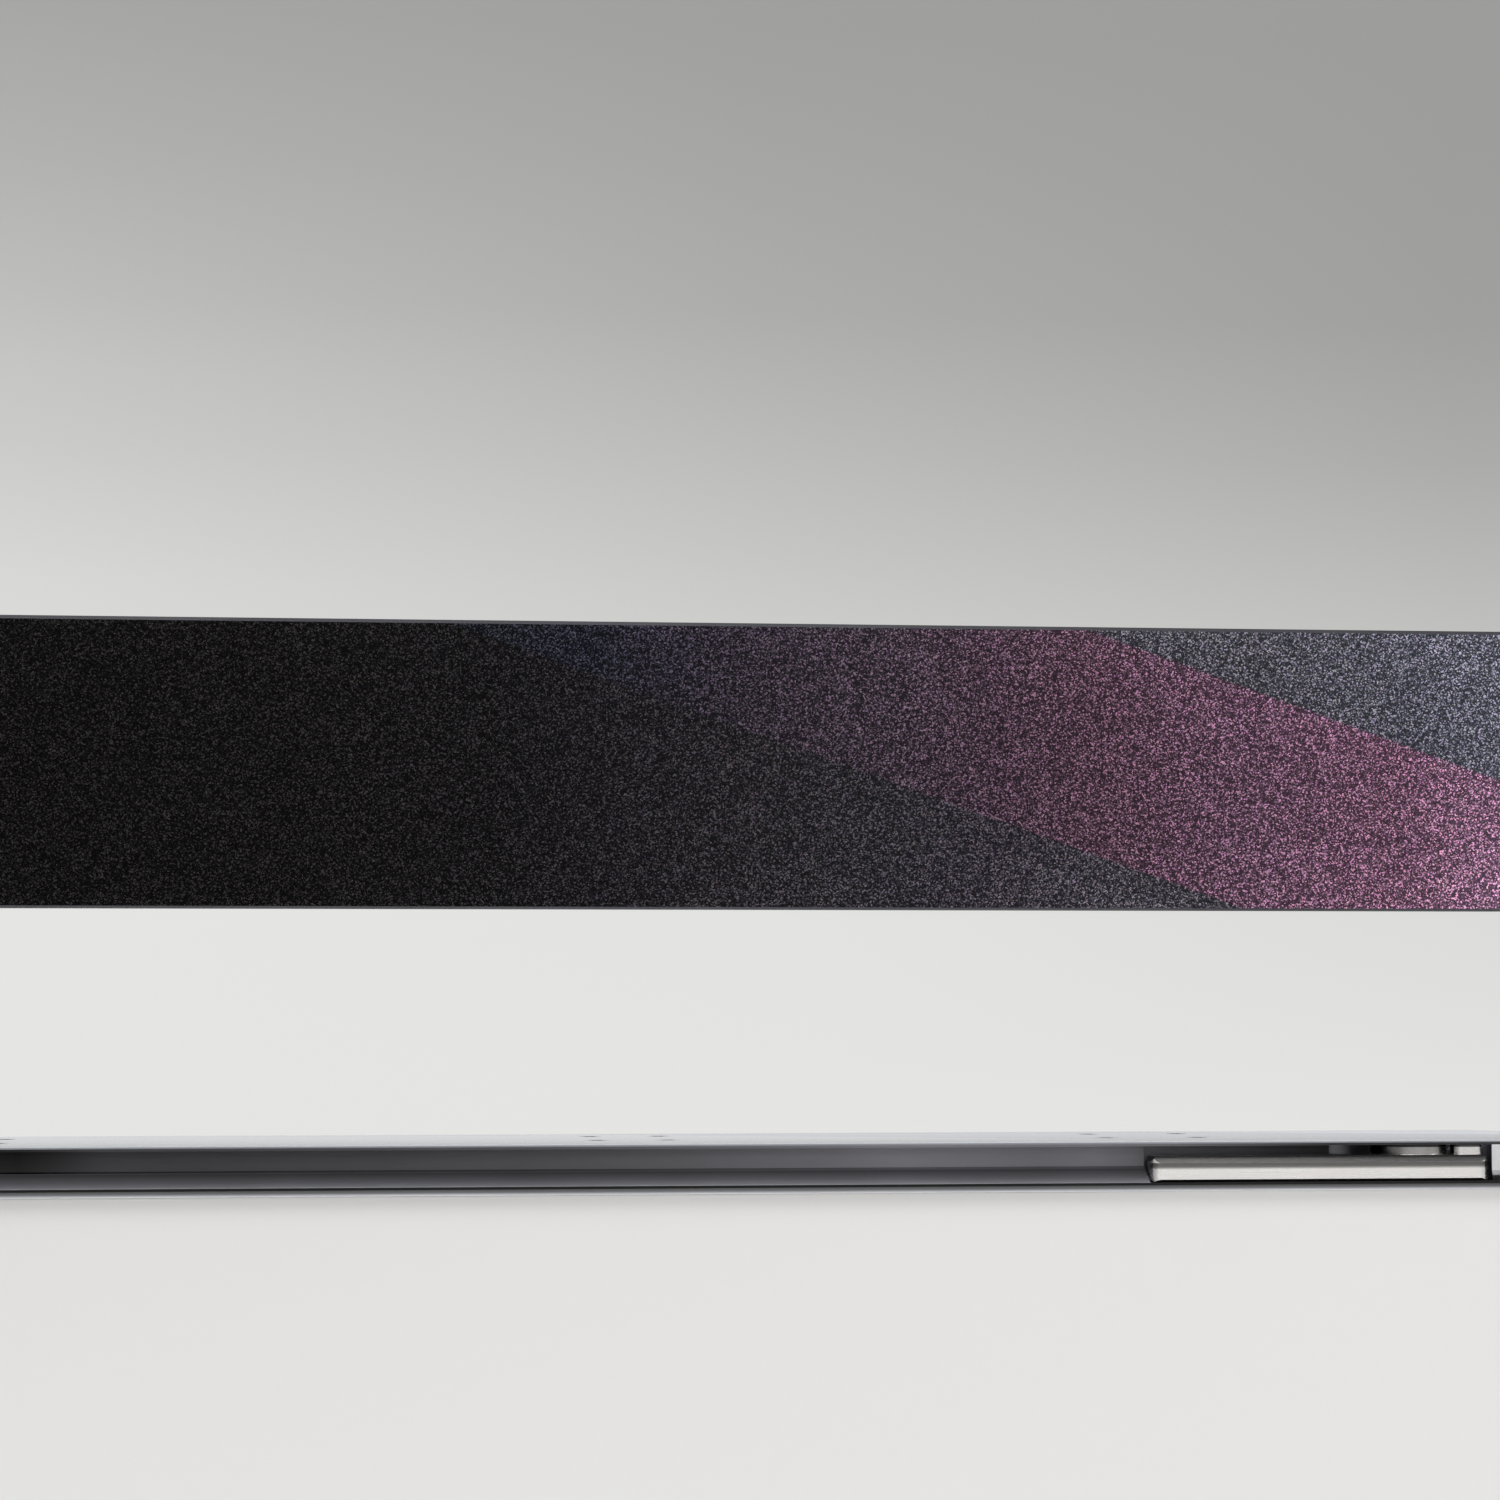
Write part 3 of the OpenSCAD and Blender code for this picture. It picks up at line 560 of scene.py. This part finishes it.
stageLook = {
    "halfWidth": 7.0, "front": -4.0, "bend": 2.4, "radius": 1.0, "height": 5.0,
    "bendSteps": 24,
    "floor": (232, 231, 229), "roughness": 0.9, "specular": 0.1,
    "fadeTop": 1.5,
    # x of each column in metres; height above the floor, grey seen there, the backdrop's fall of
    # light painted as a glow
    "fade": [
        (-0.485, [(0.0, 229), (0.163, 229), (0.609, 216), (0.795, 203), (0.894, 198),
                  (0.994, 190), (1.193, 177), (1.386, 167)]),
        (0.495, [(0.0, 228), (0.163, 227), (0.609, 201), (0.795, 188), (0.994, 173),
                 (1.193, 166), (1.386, 160)]),
        (1.475, [(0.0, 224), (0.163, 219), (0.609, 188), (0.795, 172), (0.994, 160),
                 (1.193, 158), (1.386, 157)]),
    ],
    "warmth": 2,              # how much less blue than red, in screen steps
    "blendStart": 0.1,        # y where the lit floor begins to turn into the drawn fade
    "blendEnd": 0.45,
}


def stageMesh(look):
    profile = [(look["front"], 0.0)]
    for i in range(look["bendSteps"] + 1):
        turn = math.radians(90) * i / look["bendSteps"]
        profile.append((look["bend"] + look["radius"] * math.sin(turn),
                        look["radius"] * (1 - math.cos(turn))))
    profile.append((look["bend"] + look["radius"], look["height"]))
    mesh = bmesh.new()
    rows = [[mesh.verts.new((side * look["halfWidth"], y, z)) for side in (-1, 1)]
            for y, z in profile]
    for a, b in zip(rows, rows[1:]):
        mesh.faces.new((a[0], a[1], b[1], b[0]))
    data = bpy.data.meshes.new("studio")
    mesh.to_mesh(data)
    mesh.free()
    for face in data.polygons:
        face.use_smooth = True
    paper = bpy.data.objects.new("studio", data)
    bpy.context.scene.collection.objects.link(paper)
    return paper


def stageMaterial(look):
    material, tree, shader, place = newMaterial("studioPaper", {
        "Base Color": linear(*look["floor"]), "Roughness": look["roughness"],
        "Specular IOR Level": look["specular"]})
    axes = axesOf(tree, place)
    level = calc(tree, "DIVIDE", axes[2], look["fadeTop"])
    colour, before = None, None
    for x, greys in look["fade"]:
        stops = [(z / look["fadeTop"], linear(g, g, g - look["warmth"])) for z, g in greys]
        column = ramp(tree, level, stops)
        if before is None:
            colour = column
        else:
            colour = mixColour(tree, shareOf(tree, axes[0], before, x), colour, column)
        before = x
    glow = addNode(tree, "ShaderNodeEmission")
    tree.links.new(colour, glow.inputs["Color"])
    depth = calc(tree, "SUBTRACT", axes[1], look["blendStart"])
    depth = calc(tree, "DIVIDE", depth, look["blendEnd"] - look["blendStart"])
    # the drawn fade is painted light, a glow that is only seen, and casts no light on the part
    rays = addNode(tree, "ShaderNodeLightPath")
    seen = calc(tree, "MAXIMUM", rays.outputs["Is Camera Ray"], rays.outputs["Is Glossy Ray"])
    seen = calc(tree, "MAXIMUM", seen, rays.outputs["Is Transmission Ray"])
    mix = addNode(tree, "ShaderNodeMixShader")
    tree.links.new(calc(tree, "MULTIPLY", seen, clamped(tree, depth)), mix.inputs[0])
    tree.links.new(shader.outputs[0], mix.inputs[1])
    tree.links.new(glow.outputs[0], mix.inputs[2])
    tree.links.new(mix.outputs[0], tree.nodes["Material Output"].inputs["Surface"])
    return material


studio = stageMesh(stageLook)
studio.data.materials.append(stageMaterial(stageLook))
print("stage ready")

# light

lampLooks = {
    "overhead": {"place": (0.2, 0.3, 2.6), "size": (3.2, 2.0), "power": 60,
                 "aim": (0.0, 0.0, 0.0)},
    "front": {"place": (-0.1, -3.0, 1.3), "size": (2.8, 1.2), "power": 35,
              "aim": (0.1, 0.0, 0.1)},
    "right": {"place": (2.6, -1.2, 1.0), "size": (1.2, 1.4), "power": 15,
              "aim": (0.2, 0.0, 0.1)},
    "low": {"place": (0.3, -2.8, 0.4), "size": (4.0, 0.4), "power": 8,
            "aim": (0.1, 0.0, 0.01)},
}
for label, look in lampLooks.items():
    lamp = bpy.data.lights.new(label, "AREA")
    lamp.shape = "RECTANGLE"
    lamp.size, lamp.size_y = look["size"]
    lamp.energy = look["power"]
    holder = bpy.data.objects.new(label, lamp)
    holder.location = look["place"]
    aim = Vector(look["aim"]) - Vector(look["place"])
    holder.rotation_euler = aim.to_track_quat("-Z", "Y").to_euler()
    bpy.context.scene.collection.objects.link(holder)

airLook = {"Color": (0.92, 0.94, 1.0, 1), "Strength": 0.12}
world = bpy.data.worlds.new("studioAir")
bpy.context.scene.world = world
world.use_nodes = True
for label, value in airLook.items():
    world.node_tree.nodes["Background"].inputs[label].default_value = value
print("lights ready")

# camera

cameraLook = {
    "imageSize": 1500,        # pixels of the photograph
    "focalPixels": 3800,      # fitted on the long edges
    "sensorWidth": 36,
    "clipStart": 0.05,
    "place": (-0.1146, -1.652, 0.088),
    "yaw": 0.1201, "pitch": 0.061,
}
lens = bpy.data.cameras.new("camera")
lens.sensor_width = cameraLook["sensorWidth"]
lens.lens = lens.sensor_width * cameraLook["focalPixels"] / cameraLook["imageSize"]
lens.clip_start = cameraLook["clipStart"]
camera = bpy.data.objects.new("camera", lens)
camera.location = cameraLook["place"]
camera.rotation_euler = (math.pi / 2 + cameraLook["pitch"], 0, -cameraLook["yaw"])
bpy.context.scene.collection.objects.link(camera)
bpy.context.scene.camera = camera
bpy.context.scene.view_settings.view_transform = "Standard"
